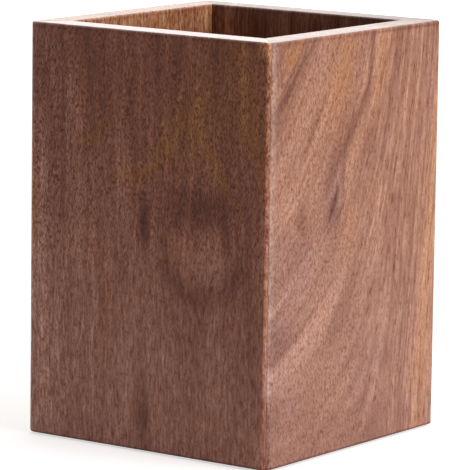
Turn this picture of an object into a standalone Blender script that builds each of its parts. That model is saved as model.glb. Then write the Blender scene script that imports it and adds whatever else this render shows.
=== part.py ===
# Square pen holder in solid walnut: four upright boards meet in mitred corners round a base panel.
# The panel's tongue sits in a groove of every board, and felt pads stuck under it carry the holder.
# Metres, +Z up. The origin is on the desk under the middle of the holder, and the front faces -Y.

import math

import bmesh
import bpy

# Box, measured over its outer faces
box_width = 0.075
box_depth = 0.075
board_height = 0.105
board_thickness = 0.008

# Outer corners and eased edges of the boards
corner_radius = 0.003
arris_radius = 0.0005
corner_segments = 8
arris_segments = 3

# Mitred corners: the glue line between two boards
glue_line = 0.0003

# Base panel and the groove that holds it
panel_thickness = 0.006
panel_clearance = 0.0003
tongue_thickness = 0.003
groove_depth = 0.003
tongue_clearance = 0.0003

# Felt pads, each on a film of adhesive under the panel
pad_diameter = 0.010
pad_thickness = 0.002
pad_inset = 0.003
pad_stand = 0.0005
adhesive_film = 0.0003
pad_segments = 40

# Points closer than this are one point
weld_distance = 0.000001

mitre_angle = math.radians(45)
flat_angle = math.radians(1)
sharp_angle = math.radians(30)

# Heights above the desk
board_bottom = pad_stand
panel_bottom = pad_thickness + adhesive_film
tongue_bottom = panel_bottom + (panel_thickness - tongue_thickness) / 2

# Space inside the boards
cavity_width = box_width - 2 * board_thickness
cavity_depth = box_depth - 2 * board_thickness

# Colour, roughness and metallic value of each finish
finishes = {
    "pale_walnut": ((0.347, 0.173, 0.120, 1), 0.42, 0),
    "red_walnut": ((0.310, 0.150, 0.105, 1), 0.42, 0),
    "plain_walnut": ((0.270, 0.135, 0.090, 1), 0.50, 0),
    "felt": ((0.045, 0.038, 0.034, 1), 0.95, 0),
}


def clear_scene():
    for item in list(bpy.data.objects):
        bpy.data.objects.remove(item, do_unlink=True)


def new_collection(name):
    collection = bpy.data.collections.new(name)
    bpy.context.scene.collection.children.link(collection)
    return collection


def new_material(name, finish):
    colour, roughness, metallic = finishes[finish]
    material = bpy.data.materials.new(name)
    material.use_nodes = True
    shader = material.node_tree.nodes["Principled BSDF"]
    shader.inputs["Base Color"].default_value = colour
    shader.inputs["Roughness"].default_value = roughness
    shader.inputs["Metallic"].default_value = metallic
    material.diffuse_color = colour
    return material


def new_object(name, mesh, collection, location, turn=0):
    item = bpy.data.objects.new(name, mesh)
    collection.objects.link(item)
    item.location = location
    item.rotation_euler.z = turn
    return item


# A box centred on its own origin
def box_mesh(name, width, depth, height):
    cage = bmesh.new()
    bmesh.ops.create_cube(cage, size=1)
    bmesh.ops.scale(cage, vec=(width, depth, height), verts=cage.verts)
    mesh = bpy.data.meshes.new(name)
    cage.to_mesh(mesh)
    cage.free()
    return mesh


# Plan of one board, with its outer face on y = 0 and its inner face at y = board_thickness.
# Each end is half of a rounded corner, then the mitre, half a glue line back from the diagonal.
def board_outline(length):
    radius = min(corner_radius, board_thickness)
    arc_angle = mitre_angle - math.asin(glue_line / 2 / radius)
    right_end = []
    for step in range(corner_segments + 1):
        turn = arc_angle * step / corner_segments
        along = length / 2 - radius + radius * math.sin(turn)
        inward = radius - radius * math.cos(turn)
        right_end.append((along, inward))
    inner_reach = length / 2 - board_thickness - glue_line / 2 / math.sin(mitre_angle)
    right_end.append((inner_reach, board_thickness))
    left_end = [(-along, inward) for along, inward in reversed(right_end)]
    return right_end + left_end


# A flat outline filled and given its height, centred on its own origin
def outline_mesh(name, outline, height):
    curve = bpy.data.curves.new(name, "CURVE")
    curve.dimensions = "2D"
    curve.fill_mode = "BOTH"
    curve.extrude = height / 2
    spline = curve.splines.new("POLY")
    spline.points.add(len(outline) - 1)
    for point, (x, y) in zip(spline.points, outline):
        point.co = (x, y, 0, 1)
    spline.use_cyclic_u = True

    drawing = new_object(name, curve, bpy.context.scene.collection, (0, 0, 0))
    graph = bpy.context.evaluated_depsgraph_get()
    mesh = bpy.data.meshes.new_from_object(drawing.evaluated_get(graph))
    bpy.data.objects.remove(drawing, do_unlink=True)
    return mesh


# One board: welded into a closed solid, with the edges to ease marked for the Bevel modifier.
# The mitred ends face inwards and along the board, and their own edges stay sharp for the glue.
def board_mesh(name, length):
    mesh = outline_mesh(name, board_outline(length), board_height)
    solid = bmesh.new()
    solid.from_mesh(mesh)
    bmesh.ops.remove_doubles(solid, verts=solid.verts, dist=weld_distance)
    bmesh.ops.dissolve_limit(solid, angle_limit=flat_angle, verts=solid.verts, edges=solid.edges)
    bmesh.ops.recalc_face_normals(solid, faces=solid.faces)
    eased = solid.edges.layers.float.new("bevel_weight_edge")
    for edge in solid.edges:
        normals = [face.normal for face in edge.link_faces]
        at_end_grain = any(abs(normal.z) > math.cos(flat_angle) for normal in normals)
        at_mitre = any(normal.y > 0 and abs(normal.x) > math.sin(flat_angle) for normal in normals)
        edge[eased] = 1.0 if at_end_grain and not at_mitre else 0.0
    solid.to_mesh(mesh)
    solid.free()
    return mesh


def ease_edges(item):
    bevel = item.modifiers.new("eased_edges", "BEVEL")
    bevel.limit_method = "WEIGHT"
    bevel.width = arris_radius
    bevel.segments = arris_segments


def join_or_cut(item, tool, operation, name):
    boolean = item.modifiers.new(name, "BOOLEAN")
    boolean.operation = operation
    boolean.solver = "EXACT"
    boolean.object = tool


def smooth_round_faces(mesh):
    mesh.shade_smooth()
    mesh.set_sharp_from_angle(angle=sharp_angle)


def make_cutter(name, mesh, collection, location):
    cutter = new_object(name, mesh, collection, location)
    cutter.hide_render = True
    cutter.display_type = "WIRE"
    return cutter


# The space that the tongue runs in, cut from all the boards at one height
def make_groove_cutter(collection):
    height = tongue_thickness + 2 * tongue_clearance
    width = cavity_width + 2 * groove_depth
    depth = cavity_depth + 2 * groove_depth
    middle = tongue_bottom + tongue_thickness / 2
    return make_cutter(
        "groove_cutter", box_mesh("groove_cutter", width, depth, height), collection, (0, 0, middle)
    )


# Each board stands on one side of the box, turned so that its inner face looks at the middle
def make_boards(collection, groove_cutter):
    middle = board_bottom + board_height / 2
    across = board_mesh("board_across", box_width)
    along = board_mesh("board_along", box_depth)
    sides = (
        ("front_wall", across, (0, -box_depth / 2, middle), 0, "red_walnut"),
        ("right_wall", along, (box_width / 2, 0, middle), math.pi / 2, "pale_walnut"),
        ("back_wall", across, (0, box_depth / 2, middle), math.pi, "red_walnut"),
        ("left_wall", along, (-box_width / 2, 0, middle), -math.pi / 2, "pale_walnut"),
    )
    for mesh in (across, along):
        smooth_round_faces(mesh)
    boards = []
    for name, mesh, location, turn, finish in sides:
        board = new_object(name, mesh.copy(), collection, location, turn)
        board.data.materials.append(new_material(f"{name}_walnut", finish))
        ease_edges(board)
        join_or_cut(board, groove_cutter, "DIFFERENCE", "panel_groove")
        boards.append(board)
    return boards


# The panel lies inside the boards, and its thinner tongue reaches into their grooves
def make_base_panel(collection, tools):
    middle = panel_bottom + panel_thickness / 2
    core = box_mesh(
        "base_panel",
        cavity_width - 2 * panel_clearance,
        cavity_depth - 2 * panel_clearance,
        panel_thickness,
    )
    tongue_reach = groove_depth - tongue_clearance
    tongue = box_mesh(
        "panel_tongue",
        cavity_width + 2 * tongue_reach,
        cavity_depth + 2 * tongue_reach,
        tongue_thickness,
    )
    panel = new_object("base_panel", core, collection, (0, 0, middle))
    panel.data.materials.append(new_material("base_panel_walnut", "plain_walnut"))
    join_or_cut(panel, make_cutter("panel_tongue", tongue, tools, (0, 0, middle)), "UNION", "tongue")
    return panel


def make_felt_pads(collection):
    disc = bmesh.new()
    bmesh.ops.create_cone(
        disc,
        cap_ends=True,
        segments=pad_segments,
        radius1=pad_diameter / 2,
        radius2=pad_diameter / 2,
        depth=pad_thickness,
    )
    mesh = bpy.data.meshes.new("felt_pad")
    disc.to_mesh(mesh)
    disc.free()
    mesh.materials.append(new_material("pad_felt", "felt"))
    smooth_round_faces(mesh)

    reach_x = cavity_width / 2 - pad_inset - pad_diameter / 2
    reach_y = cavity_depth / 2 - pad_inset - pad_diameter / 2
    pads = []
    for row, side_y in (("front", -1), ("back", 1)):
        for column, side_x in (("left", -1), ("right", 1)):
            place = (side_x * reach_x, side_y * reach_y, pad_thickness / 2)
            pads.append(new_object(f"felt_pad_{row}_{column}", mesh, collection, place))
    return pads


def main():
    clear_scene()
    pieces = new_collection("pen_holder")
    tools = new_collection("cutters")
    groove_cutter = make_groove_cutter(tools)
    holder = new_object("pen_holder", None, pieces, (0, 0, 0))
    made = make_boards(pieces, groove_cutter)
    made.append(make_base_panel(pieces, tools))
    made.extend(make_felt_pads(pieces))
    for piece in made:
        piece.parent = holder


main()
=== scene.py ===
import math

import bpy
import numpy as np
from mathutils import Matrix, Vector


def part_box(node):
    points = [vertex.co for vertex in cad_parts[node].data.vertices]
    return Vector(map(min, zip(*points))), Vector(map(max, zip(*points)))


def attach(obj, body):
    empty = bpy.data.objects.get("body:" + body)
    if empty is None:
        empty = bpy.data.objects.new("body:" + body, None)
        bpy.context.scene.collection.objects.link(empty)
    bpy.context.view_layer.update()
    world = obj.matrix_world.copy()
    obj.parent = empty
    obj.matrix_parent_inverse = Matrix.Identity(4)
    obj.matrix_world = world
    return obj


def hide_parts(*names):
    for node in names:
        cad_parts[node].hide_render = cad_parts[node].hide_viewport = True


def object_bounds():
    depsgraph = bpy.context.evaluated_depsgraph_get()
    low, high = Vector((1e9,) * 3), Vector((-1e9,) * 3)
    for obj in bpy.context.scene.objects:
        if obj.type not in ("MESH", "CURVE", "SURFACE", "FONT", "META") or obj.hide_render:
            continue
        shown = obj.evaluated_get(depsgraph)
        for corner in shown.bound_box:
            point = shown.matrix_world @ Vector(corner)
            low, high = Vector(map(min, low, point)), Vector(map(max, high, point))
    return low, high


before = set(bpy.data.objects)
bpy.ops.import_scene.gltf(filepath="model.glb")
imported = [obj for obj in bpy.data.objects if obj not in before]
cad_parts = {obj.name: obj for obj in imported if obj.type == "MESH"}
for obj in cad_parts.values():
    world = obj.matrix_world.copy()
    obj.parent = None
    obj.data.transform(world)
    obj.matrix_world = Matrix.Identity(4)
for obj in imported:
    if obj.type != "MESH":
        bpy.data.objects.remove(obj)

scene = bpy.context.scene
scene.view_settings.view_transform = "Standard"
cadLow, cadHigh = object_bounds()
mm = 0.001
sharpAngle = math.radians(35)    # edges that turn more than this stay sharp
print("frame loaded:", len(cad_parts), "nodes")


# Shader maths: a socket that adds, subtracts, multiplies and divides like a number
class Wire:
    def __init__(self, graph, socket):
        self.graph = graph
        self.socket = socket

    def __add__(self, other):
        return self.graph.math("ADD", self, other)

    __radd__ = __add__

    def __sub__(self, other):
        return self.graph.math("SUBTRACT", self, other)

    def __rsub__(self, other):
        return self.graph.math("SUBTRACT", other, self)

    def __mul__(self, other):
        return self.graph.math("MULTIPLY", self, other)

    __rmul__ = __mul__

    def __truediv__(self, other):
        return self.graph.math("DIVIDE", self, other)

    def __pow__(self, other):
        return self.graph.math("POWER", self, other)

    def __abs__(self):
        return self.graph.math("ABSOLUTE", self)


class Graph:
    def __init__(self, owner):
        owner.use_nodes = True
        self.tree = owner.node_tree
        self.tree.nodes.clear()

    # Any node: its type, its settings, then the values or links of its sockets
    def node(self, kind, settings, sockets, output=0):
        made = self.tree.nodes.new(kind)
        for key, value in settings.items():
            if key == "stops":
                self.fillRamp(made.color_ramp, value)
            else:
                setattr(made, key, value)
        for key, value in sockets.items():
            if isinstance(value, Wire):
                self.tree.links.new(value.socket, made.inputs[key])
            else:
                made.inputs[key].default_value = value
        return Wire(self, made.outputs[output]) if made.outputs else None

    # A new ramp has a stop at each end, so only those between are added
    def fillRamp(self, ramp, stops):
        for position, colour in stops[1:-1]:
            ramp.elements.new(position).color = colour
        ramp.elements[0].color = stops[0][1]
        ramp.elements[-1].color = stops[-1][1]

    def math(self, operation, *values):
        return self.node("ShaderNodeMath", {"operation": operation}, dict(enumerate(values)))

    def dot(self, first, second):
        return self.node("ShaderNodeVectorMath", {"operation": "DOT_PRODUCT"}, {0: first, 1: second}, 1)

    def vector(self, x, y, z):
        return self.node("ShaderNodeCombineXYZ", {}, {0: x, 1: y, 2: z})

    # Object coordinates in millimetres
    def objectPlace(self):
        here = self.node("ShaderNodeTexCoord", {}, {}, 3)
        split = self.node("ShaderNodeSeparateXYZ", {}, {0: here}).socket.node
        return [Wire(self, part) * (1 / mm) for part in split.outputs]

    # Noise between about -0.5 and 0.5; the vector is already in the units of the pattern
    def noise(self, x, y, z, detail=1.0, roughness=0.5):
        sockets = {"Vector": self.vector(x, y, z), "Scale": 1.0, "Detail": detail, "Roughness": roughness}
        return self.node("ShaderNodeTexNoise", {"noise_dimensions": "3D"}, sockets) - 0.5

    # 0 at low and 1 at high, with a soft step between; low may be the larger of the two
    def rise(self, value, low, high):
        sockets = {"Value": value, "From Min": low, "From Max": high}
        return self.node("ShaderNodeMapRange", {"interpolation_type": "SMOOTHSTEP"}, sockets)

    # 1 where value is at place, falling softly to 0 at width on both sides
    def streak(self, value, place, width):
        return 1 - self.rise(abs(value - place), 0, width)

    def mixColour(self, share, first, second, blend="MIX"):
        settings = {"data_type": "RGBA", "blend_type": blend, "clamp_factor": True}
        return self.node("ShaderNodeMix", settings, {0: share, 6: first, 7: second}, 2)

    def bump(self, height, distance):
        return self.node("ShaderNodeBump", {}, {"Height": height, "Distance": distance, "Strength": 1.0})

    def surface(self, sockets):
        shader = self.node("ShaderNodeBsdfPrincipled", {}, sockets)
        self.node("ShaderNodeOutputMaterial", {}, {0: shader})


def rgb(red, green, blue):
    return (red, green, blue, 1.0)


def newMaterial(name):
    material = bpy.data.materials.new(name)
    return material, Graph(material)


# The faces of a closed body on a grid of rows x columns whose columns close on themselves: a quad between
# each point and its next ones, and a cap over the first and over the last row
def closedFaces(rows, columns, flip):
    row, column = np.meshgrid(np.arange(rows - 1), np.arange(columns), indexing="ij")
    after = (column + 1) % columns
    quads = np.stack([row * columns + column, row * columns + after,
                      (row + 1) * columns + after, (row + 1) * columns + column], axis=-1).reshape(-1, 4)
    caps = [np.arange(columns)[::-1], np.arange(columns) + (rows - 1) * columns]
    if flip:
        quads = quads[:, ::-1]
        caps = [cap[::-1] for cap in caps]
    return quads.tolist() + [cap.tolist() for cap in caps]


# A piece from a grid of points; flip turns it inside out, for a grid that is wound the other way
def newPiece(name, points, flip, material, replaced):
    rows, columns = points.shape[:2]
    mesh = bpy.data.meshes.new(name)
    mesh.from_pydata(points.reshape(-1, 3).tolist(), [], closedFaces(rows, columns, flip))
    mesh.validate()
    mesh.shade_smooth()
    mesh.set_sharp_from_angle(angle=sharpAngle)
    mesh.materials.append(material)
    piece = bpy.data.objects.new(name, mesh)
    scene.collection.objects.link(piece)
    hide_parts(replaced)
    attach(piece, "root")


# The sizes of the box, read from the frame
frontLow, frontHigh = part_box("front_wall")
panelLow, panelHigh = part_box("base_panel")
boxWidth = cadHigh.x - cadLow.x
boxDepth = cadHigh.y - cadLow.y
boardThickness = frontHigh.y - frontLow.y
boardBottom = frontLow.z
boardTop = frontHigh.z
panelMiddle = (panelLow.z + panelHigh.z) / 2

boardShape = {
    "rightLeg": 1.45 * mm,         # a board's right end is eased almost flat, and its left end is rounder
    "rightPower": 1.06,            # 2 is a circular arc, 1 a flat chamfer
    "leftLeg": 2.6 * mm,
    "cornerSteps": 14,
    "alongSteps": 90,
    "faceSteps": 70,
    "footSteps": 4,                # on the inner face below the groove
    "rimSteps": 8,
    "arrisRadius": 0.48 * mm,
    "arrisSteps": 6,
    "arrisWander": 0.16,           # how unevenly the edges are hand eased
    "arrisWaves": (9, 31),
    "faceWander": 0.02 * mm,       # how far the planed faces are from flat
    "faceWaves": ((5, 4), (3, 11)),    # along the board and up it
    "wavePhase": 1.7,              # how far the waves of one board are shifted from those of the next
    "jointGap": 0.012 * mm,
    "seamDepth": 0.03 * mm,        # the mitre line has opened by a hair
    "seamShoulder": 0.3,           # the share of that depth one station further in
    "grooveHalfHeight": 1.8 * mm,
    "grooveDepth": 3.0 * mm,
}


def boardLength(quarter):
    return boxDepth if quarter % 2 else boxWidth


# The upright section of a board as one closed loop. Each point is (share of the thickness, height) when
# the edges are sharp, then how both move for each metre of easing, then the outward normal.
def boardLoop(shape):
    tall = boardTop - boardBottom

    # One stretch of the loop; a single value holds for all its points
    def stretch(*values):
        return np.stack(np.broadcast_arrays(*values))

    # Along a face, between two shares of its height
    def face(share, normal, start, stop, steps):
        part = np.linspace(start, stop, steps)
        return stretch(share, boardBottom + tall * part, 0, 1 - 2 * part, normal, 0)

    # A quarter turn round an edge
    def arris(share, height, side, up):
        turns = np.linspace(0, math.pi / 2, shape["arrisSteps"] + 1)[1:-1]
        if side * up > 0:
            turns = turns[::-1]
        cosines, sines = np.cos(turns), np.sin(turns)
        inset = -side * (1 - cosines) / boardThickness
        return stretch(share, height, inset, -up * (1 - sines), side * cosines, up * sines)

    # Across the rim or the foot, between two shares of the thickness
    def flat(height, up, start, stop, steps):
        part = np.linspace(start, stop, steps)
        return stretch(part, height, (1 - 2 * part) / boardThickness, 0, 0, up)

    grooveLow = (panelMiddle - shape["grooveHalfHeight"] - boardBottom) / tall
    grooveHigh = (panelMiddle + shape["grooveHalfHeight"] - boardBottom) / tall
    grooveShare = 1 - shape["grooveDepth"] / boardThickness
    return np.concatenate([
        face(0, -1, 0, 1, shape["faceSteps"]),
        arris(0, boardTop, -1, 1),
        flat(boardTop, 1, 0, 1, shape["rimSteps"]),
        arris(1, boardTop, 1, 1),
        face(1, 1, 1, grooveHigh, shape["faceSteps"]),
        stretch(grooveShare, boardBottom + tall * np.array([grooveHigh, grooveLow]), 0, 0, 1, 0),
        face(1, 1, grooveLow, 0, shape["footSteps"]),
        arris(1, boardBottom, 1, -1),
        flat(boardBottom, -1, 1, 0, shape["rimSteps"]),
        arris(0, boardBottom, -1, -1),
    ], axis=1)


# Half of a corner, from the mitre to the face, as the curve |u| ** power + |v| ** power = 1 of a given
# leg. It returns how far from the sharp corner each point is, along the face and inwards.
def halfCorner(leg, power, steps):
    turns = np.linspace(math.pi / 4, 0, steps)
    return leg * (1 - np.sin(turns) ** (2 / power)), leg * (1 - np.cos(turns) ** (2 / power))


# The board's plan as stations from mitre to mitre: the outer point runs round half of a corner, then along
# the face and round the next half corner. The power of the left half makes both halves meet on the mitre.
def boardStations(length, shape):
    rightBack, rightIn = halfCorner(shape["rightLeg"], shape["rightPower"], shape["cornerSteps"])
    leftPower = math.log(0.5) / math.log(1 - rightIn[0] / shape["leftLeg"])
    leftBack, leftIn = halfCorner(shape["leftLeg"], leftPower, shape["cornerSteps"])
    gap = shape["jointGap"] * math.sqrt(2)
    rightBack[0] += gap
    leftBack[0] += gap
    faceX = np.linspace(leftBack[-1] - length / 2, length / 2 - rightBack[-1], shape["alongSteps"])[1:-1]
    outerX = np.concatenate([leftBack - length / 2, faceX, length / 2 - rightBack[::-1]])
    outerY = np.concatenate([leftIn, 0 * faceX, rightIn[::-1]])
    innerEnd = length / 2 - boardThickness - gap
    innerX = np.interp(outerX, [outerX[0], outerX[-1]], [-innerEnd, innerEnd])
    return outerX, outerY, innerX


# A board is its upright section carried along the stations: point = outer + share x (inner - outer) in
# plan. Sines between 0 and 1 vary the easing and the flatness, and the last station of each end sinks along
# the normal as a seam. The whole is then turned to its side of the box.
def boardPoints(quarter, shape):
    share0, height0, shareEase, heightEase, normalShare, normalHeight = boardLoop(shape)
    outerX, outerY, innerX = boardStations(boardLength(quarter), shape)
    count = len(outerX)
    along = np.linspace(0, 1, count)[:, None]
    tall = (height0[None, :] - boardBottom) / (boardTop - boardBottom)
    phase = shape["wavePhase"] * quarter

    slow, quick = shape["arrisWaves"]
    wave = 0.5 + 0.3 * np.sin(slow * along + phase) + 0.2 * np.sin(quick * along + 2 * phase)
    ease = shape["arrisRadius"] * (1 - shape["arrisWander"] * wave)
    (firstAlong, firstUp), (secondAlong, secondUp) = shape["faceWaves"]
    wave = (0.5 + 0.25 * np.sin(firstAlong * along + firstUp * tall + phase)
            + 0.25 * np.sin(secondUp * tall - secondAlong * along + 3 * phase))
    ends = np.zeros((count, 1))
    ends[[0, -1]] = 1
    ends[[1, -2]] = shape["seamShoulder"]
    sink = shape["faceWander"] * wave * (1 - ends) + shape["seamDepth"] * ends

    share = share0 + ease * shareEase - sink * normalShare / boardThickness
    height = height0 + ease * heightEase - sink * normalHeight
    x = outerX[:, None] * (1 - share) + innerX[:, None] * share
    y = outerY[:, None] * (1 - share) + boardThickness * share
    half = boardLength(quarter + 1) / 2
    turn = quarter * math.pi / 2
    worldX = math.cos(turn) * x - math.sin(turn) * (y - half)
    worldY = math.sin(turn) * x + math.cos(turn) * (y - half)
    return np.stack([worldX, worldY, height], axis=-1)


# Walnut. Every board has its own figure: a growth-ring coordinate in millimetres, with bands and hairlines
# of noise across it that run on along the grain, and soft spots where a knot or a curl lies under the
# surface. Tone is the natural logarithm of how much lighter the wood is than its base colour.
walnut = {
    # layers of grain: how fine across, through and along, strength, and how much of it is left in a swirl
    "broad": (0.11, 0.06, 0.007, 0.36, 1.5),
    "bands": (0.36, 0.10, 0.014, 0.36, 1.3),
    "lines": (0.90, 0.30, 0.040, 0.43, 0.70),
    "hairlines": (1.50, 1.50, 0.110, 0.58, 0.25),
    "flecks": (1.25, 1.25, 0.360, 0.80, 1.0),
    "sand": (1.60, 1.60, 0.700, 0.34, 2.6),
    "dust": (3.20, 3.20, 1.150, 0.78, 1.9),
    "clouds": (0.10, 0.10, 0.050, 1.10, 1.0),
    # plain patterns: how fine across and through, and how fine along
    "bend": (0.035, 0.014), "ripple": (0.14, 0.04), "curl": (0.16, 0.12),
    "longPores": (2.0, 0.22), "shortPores": (2.0, 0.7),
    "longPoreStep": (0.10, 0.19), "shortPoreStep": (0.10, 0.20),
    "straightCurl": 0.25, "straightPores": 0.5,    # curl and short pores where there is no swirl
    "streakFineness": (0.05, 0.1),                 # along and through
    "streakMean": 0.8, "streakVaries": 2.0,
    "archPower": 1.4, "archRoot": 0.71,            # how pointed the arches are
    "paintedLightMiddle": 52.0,                            # the drop at which a look's fall changes nothing
    # starts that set the boards and the layers apart
    "boardSeed": 11.3, "panelSeed": 61.0, "figureStart": 3.7, "fleckStart": 5.1, "shortPoreStart": 5.0,
    # colour
    "toneRange": 1.6, "lightShare": 0.80,          # the ramp is shorter on its light side
    "toneShares": (1.0, 1.37, 1.55),               # how much of a tone red, green and blue take
    "rampStops": 11, "palest": 0.9,
    "fleckShares": (1.0, 1.90, 2.70), "lightFlecks": 0.32, "poreTone": 0.32,
    "sapCore": 0.5, "sapShare": 0.75,
    # edges, in millimetres and tones
    "seamWidth": 0.35, "seamTone": -0.30, "seamFineness": 0.8, "seamVaries": 3.0,
    "wearAndHighlightWidth": (1.0, 1.6), "wearAndHighlightFades": (84.0, 98.0), "wearAndHighlightLoss": 1.6,
    "rimLine": (0.9, 0.7), "rimTone": -0.22, "footShadeLine": (104.2, 104.7), "footShadeTone": -0.80,
    # finish
    "roughness": 0.44, "poreRoughness": 0.16, "toneRoughness": 0.05, "relief": 0.03 * mm,
    "ior": 1.36, "coatRoughness": 0.3,
    "rimEnds": (0.2, 0.5), "rimFadeLoss": 0.5,
    "leftCorner": (1.5, 3.0), "leftCornerFades": (55.0, 92.0), "leftCornerLoss": 0.65,
    "rightCorner": (0.8, 1.3), "rightCornerPolish": 0.5,
}


# A ramp of wood colours for tones over the tone range on both sides of the base colour
def toneStops(base):
    stops = []
    for step in np.linspace(-1, 1, walnut["rampStops"]):
        tone = step * walnut["toneRange"] * (walnut["lightShare"] if step > 0 else 1)
        parts = [min(walnut["palest"], part * math.exp(tone * share))
                 for part, share in zip(base, walnut["toneShares"])]
        stops.append(((step + 1) / 2, rgb(*parts)))
    return stops


# A sum of soft spots, each exp(-r ** hardness), where r is 1 on the edge of a turned ellipse
def softSpots(graph, along, drop, spots):
    place = graph.vector(along, drop, 1.0)
    total = 0.0
    for middle, height, halfWidth, halfHeight, turn, hardness, strength in spots:
        cosine = math.cos(math.radians(turn))
        sine = math.sin(math.radians(turn))
        across = graph.dot(place, (cosine, sine, -middle * cosine - height * sine)) / halfWidth
        down = graph.dot(place, (-sine, cosine, middle * sine - height * cosine)) / halfHeight
        square = across * across + down * down
        total = graph.math("EXPONENT", (square ** (hardness / 2)) * -1) * strength + total
    return total


# Rift figure: upright rings on the right that fan out into slanting arcs towards the bottom left
def fanFigure(graph, along, drop, look):
    off = along - (look["axisPlace"] - look["lean"] * drop)
    bend = graph.math("EXPONENT", (drop * look["fan"] + drop * drop * drop * look["fanGrowth"]) * -1)
    leftSide = graph.math("MINIMUM", off, 0) * bend
    rightSide = graph.math("MAXIMUM", off, 0) * (1 - look["close"] * drop)
    return look["axisPlace"] + leftSide + rightSide


# Upright figure: rings that part round soft bulges
def uprightFigure(graph, along, drop, look):
    return along + softSpots(graph, along, drop, look["bulges"]) - look["lean"] * drop


# Flat-sawn figure: pointed arches over one place, drawn out long below it
def archFigure(graph, along, drop, look):
    power = walnut["archPower"]
    side = abs(along - look["archAlong"]) / look["archHalfWidth"]
    over = drop - look["archDrop"]
    tall = graph.math("MAXIMUM", over / look["archBelow"], over / -look["archAbove"])
    return (side ** power + tall ** power) ** walnut["archRoot"] * look["archRings"]
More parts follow.
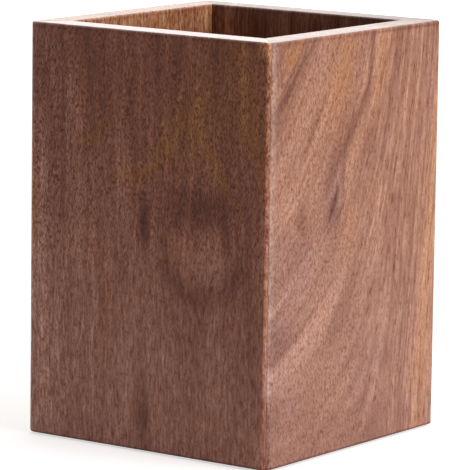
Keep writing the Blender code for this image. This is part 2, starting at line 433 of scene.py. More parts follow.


# Looks. Along and drop are millimetres from a board's left end, as seen from outside, and from its rim. A
# soft spot is (along, drop, half width, half height, turn in degrees, hardness, strength), and a streak is
# (place among the rings, half width, strength). Spots change the tone, hues run from olive above 0 to rose
# below it, bold strengthens the grain, and in a swirl it breaks up into flecks. Wander and ripple shift the
# rings sideways, depthSlope tilts them through the board, and waver is how fast they change down it. Fine
# and fineDrop are how fine the flecks are across and down it, and fall is the change of tone for
# each millimetre of drop, a painted light that grows towards the foot.
rightLook = {
    "base": (0.398, 0.181, 0.114), "olive": (1.05, 0.99, 0.72), "rose": (0.94, 0.99, 1.16),
    "sap": (0.500, 0.232, 0.124), "sapPlace": 76.4, "sapHalf": 3.6,
    "figure": fanFigure, "axisPlace": 64.0, "lean": 0.12, "fan": 0.0105, "fanGrowth": 1.3e-6,
    "close": 0.002,
    "wander": 3.0, "ripple": 1.0, "depthSlope": 0.45, "waver": 1.0, "fall": 0.0,
    "contrast": 2.02, "fleckContrast": 0.76, "curl": 3.0, "fine": 0.80, "fineDrop": 1.10,
    "worn": 0.36, "rimPolish": 0.66, "rimFades": (40, 76), "cornerPolish": 0.9,
    "swirl": [(0.0, 52.0, 41.0, 400.0, 0, 6.0, 1.0)],
    "bold": [(30.0, 20.0, 30.0, 40.0, 0, 2.0, 0.1), (68.0, 50.0, 12.0, 60.0, 0, 2.0, -0.15)],
    "streaks": [(14.5, 1.2, -0.15), (49.0, 2.2, 0.14), (53.0, 2.2, 0.12), (56.2, 1.3, -0.20),
                (60.0, 0.7, -0.20), (63.4, 0.7, -0.26), (66.4, 1.2, 0.08), (69.0, 0.8, -0.26),
                (71.4, 0.6, -0.24)],
    "spots": [
        # the dark line, from the rim down to its forked end
        (42.8, 8.0, 1.1, 12.0, 7, 2.0, -0.60), (39.5, 17.4, 1.4, 4.6, 30, 2.0, -0.62),
        (35.2, 23.5, 1.6, 4.8, 33, 2.0, -0.66), (32.4, 28.6, 1.2, 3.0, 28, 2.0, -0.52),
        (31.3, 34.5, 0.8, 5.0, 3, 2.0, -0.44), (31.7, 39.3, 0.8, 2.2, -5, 2.0, -0.45),
        (30.2, 44.6, 0.7, 3.4, 20, 2.0, -0.35), (28.3, 39.8, 0.7, 2.0, 18, 2.0, -0.9),
        (26.9, 43.0, 0.8, 2.4, 28, 2.0, -0.62), (27.2, 45.0, 3.0, 3.8, 20, 2.5, -0.50),
        # light and shade round that end, and two short streaks to the right of the line
        (27.5, 37.0, 4.0, 10.0, 10, 4.0, -0.24), (19.5, 38.0, 5.0, 8.0, 20, 2.0, 0.22),
        (24.3, 49.5, 3.0, 3.0, 20, 2.0, -0.26), (45.0, 29.5, 0.6, 3.5, 8, 2.0, -0.32),
        (40.3, 40.7, 0.6, 2.5, 10, 2.0, -0.26),
        # the small eye, and slanting bands below it
        (13.6, 44.8, 2.2, 2.8, 0, 2.5, -0.46), (8.5, 42.0, 4.5, 5.0, 0, 2.5, 0.20),
        (14.0, 54.5, 13.0, 4.0, -38, 2.0, -0.15), (33.5, 48.0, 2.4, 9.0, 24, 2.0, 0.20),
        (19.0, 62.0, 14.0, 6.0, -40, 2.0, 0.14), (6.0, 76.0, 8.0, 3.0, -38, 2.0, -0.26),
        # slanting streaks at the top left
        (12.5, 6.5, 0.8, 7.5, 45, 2.0, -0.42), (6.5, 13.6, 1.1, 5.5, 45, 2.0, -0.48),
        (7.0, 10.8, 0.35, 5.0, 43, 2.0, 0.30), (5.2, 11.6, 0.35, 5.0, 43, 2.0, -0.30),
        (4.4, 8.6, 1.0, 1.8, 45, 2.0, -0.30), (17.8, 23.2, 0.9, 7.0, 33, 2.0, -0.32),
        # broad light and shade, and a thin line under the rim
        (8.0, 100.0, 10.0, 6.0, 0, 2.0, 0.14), (28.0, 86.0, 22.0, 8.0, 0, 2.0, 0.10),
        (30.0, 12.0, 4.0, 13.0, 26, 2.0, 0.16), (36.0, 15.0, 4.0, 8.0, 20, 2.0, 0.10),
        (70.0, 55.0, 9.0, 50.0, 3, 2.0, 0.20), (52.0, 82.0, 6.0, 10.0, 0, 2.0, 0.15),
        (38.5, 25.0, 5.0, 8.0, 30, 2.0, -0.14), (58.0, 5.0, 14.0, 9.0, 0, 2.0, -0.10),
        (66.0, 0.8, 18.0, 0.45, 0, 2.0, -0.28), (3.0, 72.0, 3.0, 4.0, 0, 2.5, -0.20),
        (2.5, 91.0, 3.0, 4.5, 0, 2.5, -0.20), (6.0, 28.0, 6.0, 16.0, 0, 2.0, -0.06),
        (52.0, 37.0, 7.0, 8.0, 0, 2.0, -0.07), (6.0, 57.0, 7.0, 14.0, 0, 2.0, 0.07),
        (36.0, 90.0, 24.0, 12.0, 0, 2.0, 0.04),
    ],
    "hues": [
        (7.5, 4.5, 3.2, 4.2, 40, 2.0, 1.3), (11.0, 2.5, 2.5, 3.0, 45, 2.0, 0.8),
        (29.0, 12.0, 4.0, 14.0, 25, 2.0, 0.6), (34.0, 14.0, 16.0, 18.0, 20, 2.0, 0.30),
        (47.0, 12.0, 2.5, 16.0, 10, 2.0, 0.5), (27.5, 39.0, 4.5, 11.0, 10, 2.5, -1.0),
        (12.0, 56.0, 15.0, 6.0, -35, 2.0, -1.0), (34.0, 48.0, 3.0, 10.0, 24, 2.0, 0.5),
        (30.0, 76.0, 26.0, 22.0, 0, 2.0, -0.5), (5.0, 90.0, 8.0, 6.0, 0, 2.0, -0.7),
        (30.0, 103.0, 50.0, 10.0, 0, 2.0, -0.6), (3.0, 76.0, 6.0, 24.0, 0, 2.0, -1.0),
        (50.0, 88.0, 14.0, 22.0, 0, 2.0, -0.5), (37.5, 9.0, 2.6, 11.0, 14, 2.5, -0.35),
        (7.0, 62.0, 7.0, 14.0, 0, 2.0, -0.7),
    ],
}
frontLook = {
    # the front's rose is cool, as it mostly paints a reflected haze
    "base": (0.332, 0.1195, 0.0685), "olive": (1.00, 1.04, 0.60), "rose": (1.0, 1.13, 1.34),
    "figure": uprightFigure, "lean": 0.0,
    "bulges": [(44.0, 53.0, 9.0, 15.0, 0, 2.0, 3.0), (63.0, 54.0, 8.0, 14.0, 0, 2.0, -3.0)],
    "wander": 3.0, "ripple": 0.8, "depthSlope": 0.5, "waver": 2.2, "fall": 0.0060,
    "contrast": 2.3, "fleckContrast": 1.50, "curl": 4.0, "fine": 1.05, "fineDrop": 1.05,
    "worn": 0.48, "rimPolish": 1.0, "cornerPolish": 0.0,
    "swirl": [(37.0, 0.0, 400.0, 60.0, 0, 6.0, 1.0)],
    "bold": [(4.0, 45.0, 12.0, 60.0, 0, 2.0, 0.25), (40.0, 0.0, 200.0, 45.0, 0, 4.0, 0.10),
             (54.0, 41.0, 11.0, 7.0, 0, 3.0, 0.35), (40.0, 96.0, 60.0, 30.0, 0, 2.0, -0.22)],
    "streaks": [(25.5, 0.9, 0.12)],
    "spots": [
        # the knot mark, and the dark mark above the foot
        (37.1, 48.9, 1.5, 4.6, 0, 3.0, -1.25), (37.0, 43.4, 2.2, 3.6, 0, 2.0, -0.50),
        (37.0, 96.0, 1.9, 9.0, -2, 2.5, -0.78),
        # the lens: dark above it, pale inside, a dark outline, and two hairlines to its right
        (54.6, 42.0, 9.5, 5.0, 0, 3.0, -0.60), (47.0, 46.6, 3.0, 2.4, 0, 2.0, -0.25),
        (62.2, 49.0, 1.7, 6.0, -15, 2.0, -0.42), (48.6, 52.0, 3.6, 4.0, 0, 4.0, 0.22),
        (51.4, 56.6, 3.2, 4.0, -25, 4.0, 0.22), (57.3, 53.0, 3.6, 6.5, 0, 4.0, 0.23),
        (53.3, 50.5, 0.8, 4.5, 0, 2.0, -0.16), (46.3, 60.8, 2.2, 6.4, -56, 2.5, -0.46),
        (55.5, 64.3, 7.5, 2.9, -4, 2.5, -0.46), (63.6, 59.4, 1.9, 5.0, 42, 2.5, -0.40),
        (56.5, 71.0, 9.0, 5.0, 0, 2.0, -0.16), (65.0, 60.0, 0.5, 7.0, 3, 2.0, -0.35),
        (67.6, 57.0, 0.5, 6.0, 3, 2.0, -0.28),
        # broad light and shade, and two hairlines at the top right
        (17.0, 6.0, 9.0, 7.0, 0, 2.0, -0.18), (45.0, 9.0, 12.0, 6.0, 0, 2.0, -0.12),
        (23.0, 24.0, 8.0, 22.0, 0, 2.0, -0.16), (66.0, 58.0, 10.0, 17.0, 0, 2.0, -0.10),
        (3.0, 38.0, 4.0, 24.0, 0, 2.0, 0.26), (4.0, 80.0, 7.0, 30.0, 0, 2.0, 0.24),
        (18.0, 86.0, 16.0, 22.0, 0, 2.0, 0.16), (68.0, 76.0, 8.0, 12.0, 0, 2.0, -0.08),
        (37.0, 52.0, 5.0, 10.0, 0, 2.0, -0.08), (14.3, 14.0, 3.0, 14.0, 0, 2.5, -0.16),
        (58.3, 4.9, 0.45, 3.2, 8, 2.0, -0.45), (61.5, 13.0, 0.45, 3.6, -6, 2.0, -0.45),
        (3.0, 101.0, 9.0, 12.0, 0, 2.0, 0.14), (6.0, 24.0, 5.0, 8.0, 0, 2.0, 0.08),
        (22.0, 38.0, 6.0, 8.0, 0, 2.0, -0.06), (37.5, 82.0, 7.0, 8.0, 0, 2.0, 0.08),
        (22.0, 78.0, 6.0, 24.0, 0, 2.0, 0.06), (70.0, 6.0, 8.0, 10.0, 0, 2.0, 0.12),
        # the arms of the chevron, a painted highlight at the right end of the rim, and the left side of the
        # lens
        (58.5, 31.0, 1.3, 17.0, -31, 2.0, 0.16), (44.3, 27.0, 2.0, 13.0, 42, 2.0, 0.10),
        (73.8, 1.2, 2.8, 2.3, 0, 2.5, 0.75), (43.6, 54.5, 0.9, 4.5, -12, 2.5, -0.30),
    ],
    "hues": [
        # the arms of the chevron, and the streaks round it
        (44.3, 27.0, 2.6, 13.0, 42, 3.0, 1.35), (58.5, 31.0, 1.6, 17.0, -31, 2.5, 1.2),
        (21.0, 27.0, 2.6, 6.0, 52, 2.5, 1.2), (35.0, 35.5, 8.0, 1.6, -12, 2.5, 0.7),
        (68.0, 16.0, 3.0, 19.0, -16, 2.5, 1.2),
        # broad changes of hue; the rose towards the bottom and the left edge is a painted reflection of
        # haze
        (66.0, 8.0, 14.0, 16.0, 0, 2.0, 0.9), (1.5, 45.0, 2.0, 18.0, 0, 2.5, 1.7),
        (22.0, 20.0, 9.0, 8.0, 0, 2.0, 0.3), (30.0, 105.0, 60.0, 52.0, 0, 2.0, -1.0),
        (0.0, 100.0, 16.0, 16.0, 0, 2.0, -1.0), (52.0, 24.0, 10.0, 16.0, 0, 2.0, 0.6),
        (0.0, 62.0, 12.0, 70.0, 0, 2.0, -1.0), (53.0, 74.0, 15.0, 13.0, 0, 2.0, -0.5),
        (49.5, 52.0, 4.0, 4.0, 0, 2.5, 0.4), (30.0, 53.0, 14.0, 9.0, 0, 2.0, -0.4),
        (25.5, 66.0, 1.4, 20.0, 0, 2.5, 0.45),
    ],
}
backLook = {
    # base darker than the wood alone: painted shade for the inside of the well
    "base": (0.255, 0.102, 0.060), "olive": (1.02, 1.03, 0.74), "rose": (1.0, 1.0, 1.12),
    "figure": archFigure, "archAlong": 34.0, "archDrop": 4.0, "archHalfWidth": 21.0, "archAbove": 60.0,
    "archBelow": 85.0, "archRings": 34.0,
    "wander": 4.0, "ripple": 1.2, "depthSlope": 0.5, "waver": 1.3, "fall": 0.001,
    "contrast": 3.0, "fleckContrast": 0.95, "curl": 2.0, "fine": 1.0, "fineDrop": 1.0,
    "worn": 0.2, "rimPolish": 0.5, "rimFades": (16, -6), "cornerPolish": 0.3,
    "swirl": [],
    "bold": [(66.0, 40.0, 14.0, 40.0, 0, 2.0, 0.3)],
    "streaks": [(16.0, 1.4, -0.25), (21.0, 2.0, 0.12), (27.5, 1.2, -0.22), (34.0, 1.5, -0.18),
                (42.0, 1.4, -0.24), (50.0, 2.5, 0.10)],
    # the large dark spot near the top of the left end, as seen from outside, is painted shade of the corner
    # of the well
    "spots": [(34.0, 84.0, 3.0, 9.0, 0, 2.5, -0.25), (66.0, 30.0, 6.0, 24.0, 4, 2.0, -0.12),
              (12.0, 10.0, 20.0, 20.0, 0, 3.0, -0.72), (52.0, 6.0, 8.0, 16.0, 0, 2.5, -0.20)],
    "hues": [(16.0, 10.0, 14.0, 18.0, 0, 2.0, 0.9), (50.0, 40.0, 8.0, 22.0, 14, 2.0, 0.8),
             (14.0, 60.0, 8.0, 30.0, -6, 2.0, -0.7)],
}
leftLook = {
    # base lighter than the wood alone: painted light for the key lamp on the inner face
    "base": (0.490, 0.214, 0.107), "olive": (1.04, 1.02, 0.74), "rose": (1.0, 0.98, 1.10),
    "sap": (0.52, 0.25, 0.13), "sapPlace": -3.0, "sapHalf": 3.5,
    "figure": uprightFigure, "lean": -0.05, "bulges": [(30.0, 38.0, 9.0, 16.0, 0, 2.0, -2.5)],
    "wander": 4.0, "ripple": 1.0, "depthSlope": 0.4, "waver": 1.3, "fall": 0.0,
    "contrast": 2.2, "fleckContrast": 1.55, "curl": 2.0, "fine": 1.0, "fineDrop": 1.0,
    "worn": 0.2, "rimPolish": 0.5, "cornerPolish": 0.3,
    "swirl": [],
    "bold": [(40.0, 5.0, 40.0, 20.0, 0, 2.0, 0.1)],
    "streaks": [(9.0, 1.2, -0.28), (22.0, 1.0, -0.26), (31.0, 2.4, 0.10), (40.5, 1.4, -0.30),
                (52.0, 1.0, -0.24), (58.0, 2.2, 0.10), (66.0, 1.3, -0.30)],
    "spots": [(29.0, 38.0, 2.4, 6.0, 0, 2.5, -0.30), (55.0, 84.0, 5.0, 12.0, 8, 2.0, -0.12),
              (12.0, 6.0, 14.0, 14.0, 0, 2.0, 0.10), (46.0, 30.0, 10.0, 34.0, 4, 2.0, -0.16)],
    "hues": [(20.0, 40.0, 8.0, 22.0, 8, 2.0, 0.6), (50.0, 70.0, 10.0, 28.0, -6, 2.0, -0.7)],
}
panelLook = {
    "base": (0.310, 0.132, 0.082), "olive": (1.02, 1.02, 0.78), "rose": (1.0, 0.98, 1.10),
    "figure": archFigure, "archAlong": 30.0, "archDrop": 20.0, "archHalfWidth": 15.0, "archAbove": 60.0,
    "archBelow": 90.0, "archRings": 26.0,
    "wander": 4.0, "ripple": 1.0, "depthSlope": 0.6, "waver": 1.3, "fall": 0.0,
    "contrast": 2.2, "fleckContrast": 0.95, "curl": 2.0, "fine": 1.0, "fineDrop": 1.0,
    "swirl": [],
    "bold": [(20.0, 60.0, 20.0, 40.0, 0, 2.0, 0.3)],
    "streaks": [(8.0, 1.4, -0.24), (15.0, 2.0, 0.10), (21.0, 1.2, -0.22), (30.0, 1.5, -0.2)],
    "spots": [(44.0, 34.0, 3.0, 7.0, 10, 2.5, -0.22)],
    "hues": [(18.0, 30.0, 7.0, 18.0, 4, 2.0, 0.7)],
}


# Board coordinates in millimetres: along from the left end, depth from the outer face, drop from the rim
def boardPlace(graph, quarter):
    x, y, z = graph.objectPlace()
    fromLeft = x + boxWidth / mm / 2
    fromFront = y + boxDepth / mm / 2
    fromRight = boxWidth / mm / 2 - x
    fromBack = boxDepth / mm / 2 - y
    along, depth = [(fromLeft, fromFront), (fromFront, fromRight),
                    (fromRight, fromBack), (fromBack, fromLeft)][quarter]
    return along, depth, boardTop / mm - z


# The panel's grain runs from left to right, so its drop is measured from the left of the box
def panelPlace(graph):
    x, y, z = graph.objectPlace()
    return y + boxDepth / mm / 2, panelHigh.z / mm - z, x + boxWidth / mm / 2


# One layer of the grain, weaker or stronger in a swirl
def grainNoise(graph, layer, across, through, lengthways, start, swirl=0.0, detail=1.0):
    fineAcross, fineThrough, fineAlong, strength, inSwirl = walnut[layer]
    x = across * fineAcross + start
    y = through * fineThrough
    z = lengthways * fineAlong + start
    return graph.noise(x, y, z, detail) * (swirl * (strength * (inSwirl - 1)) + strength)


# A plain pattern that is as fine through the board as across it
def plainNoise(graph, name, across, through, lengthways, start, startAlong=0.0):
    fineAcross, fineAlong = walnut[name]
    x = across * fineAcross + start
    y = through * fineAcross
    z = lengthways * fineAlong + startAlong
    return graph.noise(x, y, z)


# Dark seams at the mitres, edges beside them lighter as wear and as a painted highlight, a dark line under
# the rim and painted shade on the bottom edge
def edgeTone(graph, place, tone, look, length):
    along, depth, drop = place
    fromEnd = graph.math("MINIMUM", along, length - along)
    seam = 1 - graph.rise(fromEnd - depth, 0, walnut["seamWidth"])
    seam = seam * (graph.noise(drop * walnut["seamFineness"], along, depth) * walnut["seamVaries"] + 1)
    # Lighter along the corners, partly as wear and partly as a painted highlight on the rounded corners;
    # near the foot it turns darker
    worn = 1 - graph.rise(graph.math("MAXIMUM", fromEnd, depth), *walnut["wearAndHighlightWidth"])
    worn = worn * (1 - graph.rise(drop, *walnut["wearAndHighlightFades"]) * walnut["wearAndHighlightLoss"])
    tone = tone + seam * walnut["seamTone"] + worn * look["worn"]
    tone = tone + graph.streak(drop, *walnut["rimLine"]) * walnut["rimTone"]
    # Painted shade on the bottom edge, which faces the floor
    return tone + graph.rise(drop, *walnut["footShadeLine"]) * walnut["footShadeTone"]


# The colour of a tone, with sapwood at its place among the rings, then tinted, then speckled by the
# flecks, which take more of green and blue than of red
def woodColour(graph, place, ring, tone, flecks, look, seed):
    along, depth, drop = place
    onRamp = tone * (0.5 / walnut["toneRange"]) + 0.5
    colour = graph.node("ShaderNodeValToRGB", {"stops": toneStops(look["base"])}, {0: onRamp})
    if "sap" in look:
        sapColour = graph.node("ShaderNodeValToRGB", {"stops": toneStops(look["sap"])}, {0: onRamp})
        fromSap = abs(ring - look["sapPlace"])
        sap = 1 - graph.rise(fromSap, look["sapHalf"] * walnut["sapCore"], look["sapHalf"])
        colour = graph.mixColour(sap * walnut["sapShare"], colour, sapColour)
    hue = softSpots(graph, along, drop, look["hues"])
    hue = hue + grainNoise(graph, "clouds", along, depth, drop, seed)
    colour = graph.mixColour(graph.math("MAXIMUM", hue, 0), colour, rgb(*look["olive"]), "MULTIPLY")
    colour = graph.mixColour(graph.math("MAXIMUM", hue * -1, 0), colour, rgb(*look["rose"]), "MULTIPLY")
    flecked = [graph.math("EXPONENT", flecks * share) for share in walnut["fleckShares"]]
    return graph.mixColour(1.0, colour, graph.vector(*flecked), "MULTIPLY")


# Only the rim and the corners are polished. The left corner is less so near its foot.
def polishShare(graph, place, look, length):
    along, depth, drop = place
    polish = 1 - graph.rise(drop, *walnut["rimEnds"])
    if "rimFades" in look:
        polish = polish * (1 - graph.rise(along, *look["rimFades"]) * walnut["rimFadeLoss"])
    polish = polish * look["rimPolish"]
    corner = 1 - graph.rise(along, *walnut["leftCorner"])
    corner = corner * (1 - graph.rise(drop, *walnut["leftCornerFades"]) * walnut["leftCornerLoss"])
    polish = graph.math("MAXIMUM", polish, corner * look["cornerPolish"])
    corner = 1 - graph.rise(length - along, *walnut["rightCorner"])
    return graph.math("MAXIMUM", polish, corner * walnut["rightCornerPolish"])


# Walnut at a place (along, depth, drop). The length is that of a board; the panel has none, and no edges.
def paintWalnut(graph, place, look, seed, length=None):
    along, depth, drop = place
    bend = plainNoise(graph, "bend", along, depth, drop, seed) * look["wander"]
    ripple = plainNoise(graph, "ripple", along, depth, drop, seed) * look["ripple"]
    ring = look["figure"](graph, along, drop, look) + depth * look["depthSlope"] + bend + ripple
    swirl = softSpots(graph, along, drop, look["swirl"])

    figure = 0.0
    waver = drop * look["waver"]
    for number, layer in enumerate(("broad", "bands", "lines", "hairlines")):
        start = seed + walnut["figureStart"] * number
        figure = grainNoise(graph, layer, ring, depth, waver, start, swirl) + figure
    flecks = 0.0
    curl = plainNoise(graph, "curl", along, depth, drop, seed)
    curl = curl * (swirl + walnut["straightCurl"]) * look["curl"]
    fineAlong = (along + curl) * look["fine"]
    fineDepth = depth * look["fine"]
    fineDrop = drop * look["fineDrop"]
    for number, layer in enumerate(("flecks", "sand", "dust")):
        start = seed + walnut["fleckStart"] * number
        flecks = grainNoise(graph, layer, fineAlong, fineDepth, fineDrop, start, swirl, 0.0) + flecks

    height = figure * look["contrast"] + flecks * look["fleckContrast"]
    bold = softSpots(graph, along, drop, look["bold"]) + 1
    flecks = flecks * bold * look["fleckContrast"]
    tone = figure * bold * look["contrast"] + softSpots(graph, along, drop, look["spots"])
    # Painted light that grows down the board, used on the front board
    tone = tone + (drop - walnut["paintedLightMiddle"]) * look["fall"]
    streakAlong, streakThrough = walnut["streakFineness"]
    for middle, width, strength in look["streaks"]:
        fade = graph.noise(drop * streakAlong, middle, depth * streakThrough)
        fade = fade * walnut["streakVaries"] + walnut["streakMean"]
        tone = tone + graph.streak(ring, middle, width) * fade * strength

    longPores = plainNoise(graph, "longPores", ring, depth, drop, seed)
    longPores = graph.rise(longPores, *walnut["longPoreStep"])
    shortPores = plainNoise(graph, "shortPores", along, depth, drop, seed, walnut["shortPoreStart"])
    shortPores = graph.rise(shortPores, *walnut["shortPoreStep"])
    straight = walnut["straightPores"]
    pores = longPores * (1 - swirl) + shortPores * (straight + swirl * (1 - straight))
    flecks = graph.math("MINIMUM", flecks, flecks * walnut["lightFlecks"]) - pores * walnut["poreTone"]
    if length:
        tone = edgeTone(graph, place, tone, look, length)

    colour = woodColour(graph, place, ring, tone, flecks, look, seed)
    roughness = walnut["roughness"] + pores * walnut["poreRoughness"] - tone * walnut["toneRoughness"]
    normal = graph.bump(height, walnut["relief"])
    polish = polishShare(graph, place, look, length) if length else 0.0
    graph.surface({"Base Color": colour, "Roughness": roughness, "Normal": normal, "IOR": walnut["ior"],
                   "Coat Weight": polish, "Coat Roughness": walnut["coatRoughness"]})


print("boards")
boards = [("frontBoard", 0, frontLook, "front_wall", "walnut_front"),
          ("rightBoard", 1, rightLook, "right_wall", "walnut_right"),
          ("backBoard", 2, backLook, "back_wall", "walnut_back"),
          ("leftBoard", 3, leftLook, "left_wall", "walnut_left")]
for boardName, quarter, look, replaced, boardSlot in boards:
    boardWalnut, boardGraph = newMaterial(boardName + "Walnut")
    boardSeed = walnut["boardSeed"] * quarter
    paintWalnut(boardGraph, boardPlace(boardGraph, quarter), look, boardSeed, boardLength(quarter) / mm)
    newPiece(boardName, boardPoints(quarter, boardShape), True, boardWalnut, replaced)


# Rings on the flat face of a plate, between two shares of its reach, as rows of (reach, height)
def flatRings(reach, height, start, stop, steps):
    return np.stack([reach * np.linspace(start, stop, steps), np.full(steps, height)], axis=1)


# Rings round a plate's edge as a quarter circle: outwards from its lower face, inwards to its upper face
def edgeRings(reach, height, radius, steps, upper):
    turns = np.linspace(0, math.pi / 2, steps)
    sines = radius * (1 - np.sin(turns))
    cosines = radius * (1 - np.cos(turns))
    if upper:
        return np.stack([reach - cosines, height - sines], axis=1)
    return np.stack([reach - sines, height + cosines], axis=1)


# A flat round or square plate: a profile of rings carried round a closed path of unit reach, so that each
# point is middle + reach x path in plan, at the height of its ring
def platePoints(profile, path, middle):
    reach, height = profile.T[:, :, None]
    x = middle[0] + reach * path[0]
    y = middle[1] + reach * path[1]
    return np.stack([x, y, np.broadcast_to(height, x.shape)], axis=-1)


basePanel = {
    "tongueHalfHeight": 1.5 * mm,
    "tongueReach": 3.0 * mm,
    "edgeEase": 0.4 * mm,
    "edgeSteps": 5,
    "innerShare": 0.04,       # the first and the last ring of a face, as shares of its reach
    "outerShare": 0.98,
    "faceRings": 16,
    "pointsPerSide": 36,
}


# The square path of unit reach, anticlockwise from its bottom left corner
def squarePath(count):
    run = np.linspace(-1, 1, count, endpoint=False)
    side = np.ones(count)
    return np.concatenate([run, side, -run, -side]), np.concatenate([-side, run, side, -run])


print("base panel")
panelReach = (panelHigh.x - panelLow.x) / 2
coreReach = panelReach - basePanel["tongueReach"]
tongueLow = panelMiddle - basePanel["tongueHalfHeight"]
tongueHigh = panelMiddle + basePanel["tongueHalfHeight"]
innerShare, outerShare = basePanel["innerShare"], basePanel["outerShare"]
panelProfile = np.concatenate([
    flatRings(coreReach, panelLow.z, innerShare, outerShare, basePanel["faceRings"]),
    edgeRings(coreReach, panelLow.z, basePanel["edgeEase"], basePanel["edgeSteps"], upper=False),
    [(coreReach, tongueLow), (panelReach, tongueLow), (panelReach, tongueHigh), (coreReach, tongueHigh)],
    edgeRings(coreReach, panelHigh.z, basePanel["edgeEase"], basePanel["edgeSteps"], upper=True),
    flatRings(coreReach, panelHigh.z, outerShare, innerShare, basePanel["faceRings"]),
])
panelWalnut, panelGraph = newMaterial("panelWalnut")
paintWalnut(panelGraph, panelPlace(panelGraph), panelLook, walnut["panelSeed"])
panelPoints = platePoints(panelProfile, squarePath(basePanel["pointsPerSide"]), (0, 0))
newPiece("basePanel", panelPoints, False, panelWalnut, "base_panel")


feltPad = {
    "edgeRound": 0.55 * mm,
    "edgeSteps": 7,
    "topChamfer": 0.2 * mm,
    "innerShare": 0.05,       # the first and the last ring of a face, as shares of its reach
    "outerShare": 0.85,
    "lowerRings": 10,
    "upperRings": 6,
    "pointsRound": 96,
    "wobble": 0.006,          # how far from round, as a share of the reach
    "wobbleWaves": (7, 19),
    "colour": rgb(0.045, 0.038, 0.034),
    "fibre": rgb(0.095, 0.083, 0.074),
    "fibreFineness": (9, 2, 6),    # across a fibre, along it and up
    "fibreSlant": 3,
    "fibreStart": 8,          # sets the crossing fibres apart from the first
    "patchFineness": 0.5,
    "napFineness": 14,
    "fibreTone": 1.6,
    "patchTone": 0.8,
    "meanTone": 0.4,          # 0 is the colour and 1 the fibre
    "relief": 0.12 * mm,
    "roughness": 0.95,
    "specular": 0.25,
    "sheen": 0.5,
    "sheenRoughness": 0.5,
}


# Pressed felt: tangled fibres as two stretched noises crossing, over slow patches where it is packed tight
def feltMaterial():
    material, graph = newMaterial("padFelt")
    x, y, z = graph.objectPlace()
    across, along, up = feltPad["fibreFineness"]
    slant = feltPad["fibreSlant"]
    fibres = graph.noise(x * across + y * slant, y * along, z * up)
    fibres = fibres + graph.noise(x * along, y * across - x * slant, z * up + feltPad["fibreStart"])
    patches = graph.noise(*(part * feltPad["patchFineness"] for part in (x, y, z)))
    tone = fibres * feltPad["fibreTone"] + patches * feltPad["patchTone"] + feltPad["meanTone"]
    colour = graph.mixColour(graph.rise(tone, 0.0, 1.0), feltPad["colour"], feltPad["fibre"])
    nap = graph.noise(*(part * feltPad["napFineness"] for part in (x, y, z)))
    normal = graph.bump(fibres + nap, feltPad["relief"])
    graph.surface({"Base Color": colour, "Roughness": feltPad["roughness"], "Normal": normal,
                   "Specular IOR Level": feltPad["specular"], "Sheen Weight": feltPad["sheen"],
                   "Sheen Roughness": feltPad["sheenRoughness"]})
    return material


print("felt pads")
padFelt = feltMaterial()
turns = np.linspace(0, 2 * math.pi, feltPad["pointsRound"], endpoint=False)
slowWave, quickWave = feltPad["wobbleWaves"]
wobble = 1 - feltPad["wobble"] * (1 + np.sin(slowWave * turns) * 0.5 + np.sin(quickWave * turns + 1) * 0.5)
padPath = (np.cos(turns) * wobble, np.sin(turns) * wobble)
innerShare, outerShare = feltPad["innerShare"], feltPad["outerShare"]
chamfer = feltPad["topChamfer"]
for padName in ("felt_pad_front_left", "felt_pad_front_right", "felt_pad_back_left", "felt_pad_back_right"):
    padLow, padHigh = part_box(padName)
    padReach = (padHigh.x - padLow.x) / 2
    padProfile = np.concatenate([
        flatRings(padReach, padLow.z, innerShare, outerShare, feltPad["lowerRings"]),
        edgeRings(padReach, padLow.z, feltPad["edgeRound"], feltPad["edgeSteps"], upper=False),
        [(padReach, padHigh.z - chamfer), (padReach - chamfer, padHigh.z)],
        flatRings(padReach, padHigh.z, outerShare, innerShare, feltPad["upperRings"]),
    ])
    padMiddle = ((padLow.x + padHigh.x) / 2, (padLow.y + padHigh.y) / 2)
    firstWord, *otherWords = padName.split("_")
    pieceName = firstWord + "".join(word.capitalize() for word in otherWords)
    newPiece(pieceName, platePoints(padProfile, padPath, padMiddle), False, padFelt, padName)


studio = {
    "cameraAzimuth": 35.834, "cameraElevation": 9.071, "cameraRoll": 0.787,
    "cameraDistance": 0.9789, "cameraAcross": 0.00013, "cameraUp": -0.00246,
    "lens": 293.9, "sensor": 36.0,
    "keyAzimuth": 94.0, "keyElevation": 21.0, "keyDistance": 0.9,
    "keySize": (0.45, 0.72), "keyLevel": 5.2,
    "backAzimuth": 215.8, "backElevation": 14.0, "backDistance": 1.2,
    "backSize": (1.3, 0.6), "backLevel": 1.2,
    "topAzimuth": 180.0, "topElevation": 78.0, "topDistance": 1.1,
    "topSize": (0.9, 0.9), "topLevel": 1.6,
    "worldLevel": 0.20, "floorColour": rgb(0.82, 0.81, 0.80), "floorDrop": 0.02 * mm, "floorHalf": 12.0,
    "floorGlow": 0.62, "farGlow": 0.90, "glowRises": (0.45, 1.2),    # the glow rises away from the object
}
boxMiddle = Vector((0, 0, (boardBottom + boardTop) / 2))


# The direction from the object, azimuth 0 in front and 90 on the right
def direction(azimuth, elevation):
    around = math.radians(azimuth)
    above = math.radians(elevation)
    level = math.cos(above)
    return Vector((math.sin(around) * level, -math.cos(around) * level, math.sin(above)))


def placeCamera():
    back = direction(studio["cameraAzimuth"], studio["cameraElevation"])
    right = Vector((0, 0, 1)).cross(back).normalized()
    up = back.cross(right)
    data = bpy.data.cameras.new("camera")
    data.sensor_width = studio["sensor"]
    data.lens = studio["lens"]
    camera = bpy.data.objects.new("camera", data)
    scene.collection.objects.link(camera)
    place = boxMiddle + back * studio["cameraDistance"]
    place = place + right * studio["cameraAcross"] + up * studio["cameraUp"]
    roll = math.radians(studio["cameraRoll"])
    rightRolled = right * math.cos(roll) + up * math.sin(roll)
    upRolled = up * math.cos(roll) - right * math.sin(roll)
    turn = Matrix((rightRolled, upRolled, back)).transposed()
    camera.matrix_world = Matrix.Translation(place) @ turn.to_4x4()
    scene.camera = camera


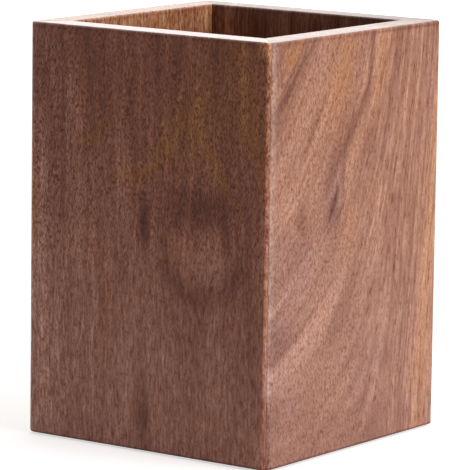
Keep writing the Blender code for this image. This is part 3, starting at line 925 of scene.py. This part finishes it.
# A soft box of a given radiance, so that its power follows its area
def softBox(name, key):
    data = bpy.data.lights.new(name, "AREA")
    data.shape = "RECTANGLE"
    data.size, data.size_y = studio[key + "Size"]
    data.energy = studio[key + "Level"] * math.pi * data.size * data.size_y
    lamp = bpy.data.objects.new(name, data)
    scene.collection.objects.link(lamp)
    toLamp = direction(studio[key + "Azimuth"], studio[key + "Elevation"])
    lamp.location = boxMiddle + toLamp * studio[key + "Distance"]
    lamp.rotation_mode = "QUATERNION"
    lamp.rotation_quaternion = toLamp.to_track_quat("Z", "Y")
    lamp.visible_camera = False


# 1 for rays that show the background: those of the camera, of gloss and of glass
def showingRay(graph):
    kinds = [graph.node("ShaderNodeLightPath", {}, {}, kind)
             for kind in ("Is Camera Ray", "Is Glossy Ray", "Is Transmission Ray")]
    return graph.math("MAXIMUM", graph.math("MAXIMUM", kinds[0], kinds[1]), kinds[2])


def makeWorld():
    world = bpy.data.worlds.new("studio")
    scene.world = world
    graph = Graph(world)
    shows = showingRay(graph)
    strength = shows * (1 - studio["worldLevel"]) + studio["worldLevel"]
    light = graph.node("ShaderNodeBackground", {}, {"Color": rgb(1, 1, 1), "Strength": strength})
    graph.node("ShaderNodeOutputWorld", {}, {0: light})


# The floor lights the object as pale paper does, and looks white apart from the shadow on it
def makeFloor():
    half = studio["floorHalf"]
    low = -studio["floorDrop"]
    mesh = bpy.data.meshes.new("floor")
    mesh.from_pydata([(-half, -half, low), (half, -half, low), (half, half, low), (-half, half, low)], [],
                     [(0, 1, 2, 3)])
    floor = bpy.data.objects.new("floor", mesh)
    scene.collection.objects.link(floor)
    material, graph = newMaterial("paper")
    x, y = graph.objectPlace()[:2]
    near, far = studio["glowRises"]
    glow = graph.rise((x * x + y * y) ** 0.5, near / mm, far / mm)
    glow = glow * (studio["farGlow"] - studio["floorGlow"])
    glow = showingRay(graph) * (glow + studio["floorGlow"])
    paper = graph.node("ShaderNodeBsdfDiffuse", {}, {"Color": studio["floorColour"]})
    light = graph.node("ShaderNodeEmission", {}, {"Color": rgb(1, 1, 1), "Strength": glow})
    both = graph.node("ShaderNodeAddShader", {}, {0: paper, 1: light})
    graph.node("ShaderNodeOutputMaterial", {}, {0: both})
    mesh.materials.append(material)


print("studio")
placeCamera()
softBox("keyLamp", "key")
softBox("backLamp", "back")
softBox("topLamp", "top")
makeWorld()
makeFloor()
